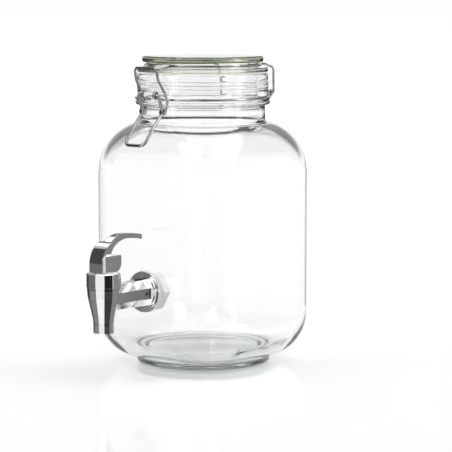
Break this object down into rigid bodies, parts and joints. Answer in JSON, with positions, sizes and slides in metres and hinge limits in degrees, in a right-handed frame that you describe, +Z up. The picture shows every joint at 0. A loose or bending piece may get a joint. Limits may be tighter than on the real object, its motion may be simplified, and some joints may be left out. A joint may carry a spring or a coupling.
{
  "type": "clip-top drinks dispenser",
  "caption": "Square-shouldered glass drinks dispenser jar with a gasketed glass lid, a wire clip closure and a chrome push-lever tap.",
  "frame": {"origin": "centre of the foot, on the plane that the jar stands on", "axes": "+Z up along the jar's axis; -Y out through the tap; +X to the right seen from the tap side looking along +Y"},
  "size_m": [0.142, 0.205, 0.252],
  "materials": {
    "jar_glass": "clear pressed glass",
    "lid_glass": "clear pressed glass, faint green in its thickness",
    "gasket_silicone": "translucent silicone",
    "washer_silicone": "translucent silicone",
    "bail_wire": "bright drawn wire",
    "band_wire": "bright drawn wire",
    "link_wire": "bright drawn wire",
    "lever_wire": "bright drawn wire",
    "tap_chrome": "polished plating",
    "collar_chrome": "polished plating",
    "shank_chrome": "polished plating",
    "flange_chrome": "polished plating",
    "lever_chrome": "polished plating",
    "screw_black": "black oxide",
    "black_rubber": "matte",
    "seal_rubber": "matte silicone",
    "nut_plastic": "satin moulded",
    "stem_steel": "turned",
    "retainer_steel": "stamped",
    "spring_steel": "drawn",
    "pin_steel": "ground"
  },
  "bodies": {
    "jar": {"jar_base": "jar_glass", "glass_jar": "jar_glass", "jar_shoulder": "jar_glass", "jar_neck": "jar_glass", "neck_band": "band_wire", "tap_body": "tap_chrome", "bonnet_collar": "collar_chrome", "tap_shank": "shank_chrome", "set_screw": "screw_black", "shank_o_ring": "black_rubber", "flange_ring": "flange_chrome", "outer_gasket": "washer_silicone", "inner_gasket": "washer_silicone", "hex_nut": "nut_plastic", "stem_o_ring": "black_rubber"},
    "lid": {"glass_lid": "lid_glass", "lid_gasket": "gasket_silicone", "lid_wire": "bail_wire"},
    "latch": {"latch_lever": "lever_wire"},
    "link": {"latch_link": "link_wire"},
    "valve": {"valve_stem": "stem_steel", "seat_seal": "seal_rubber", "spring_retainer": "retainer_steel", "valve_spring": "spring_steel"},
    "handle": {"tap_lever": "lever_chrome", "lever_pin": "pin_steel"}
  },
  "joints": [
    {"name": "lid_hinge", "type": "hinge", "parent": "jar", "child": "lid", "pos_m": [0, 0.0595, 0.22026], "axis": [-1, 0, 0], "range_deg": [0, 110]},
    {"name": "latch_pivot", "type": "hinge", "parent": "jar", "child": "latch", "pos_m": [0, -0.0673, 0.22196], "axis": [-1, 0, 0], "range_deg": [0, 100]},
    {"name": "link_pivot", "type": "hinge", "parent": "latch", "child": "link", "pos_m": [0, -0.062, 0.20846], "axis": [-1, 0, 0], "range_deg": [-100, 0]},
    {"name": "stem_lift", "type": "slide", "parent": "jar", "child": "valve", "axis": [0, 0, 1], "range_m": [0, 0.00262], "deforming": ["valve_spring"]},
    {"name": "lever_press", "type": "hinge", "parent": "valve", "child": "handle", "pos_m": [0, -0.121, 0.0927], "axis": [-1, 0, 0], "range_deg": [0, 30], "stiffness_Nm_per_rad": 0.03, "springref_deg": -34.38}
  ],
  "couplings": [
    {"joint": "link_pivot", "follows": "latch_pivot", "ratio": -1},
    {"joint": "stem_lift", "follows": "lever_press", "m_per_rad": 0.005}
  ]
}
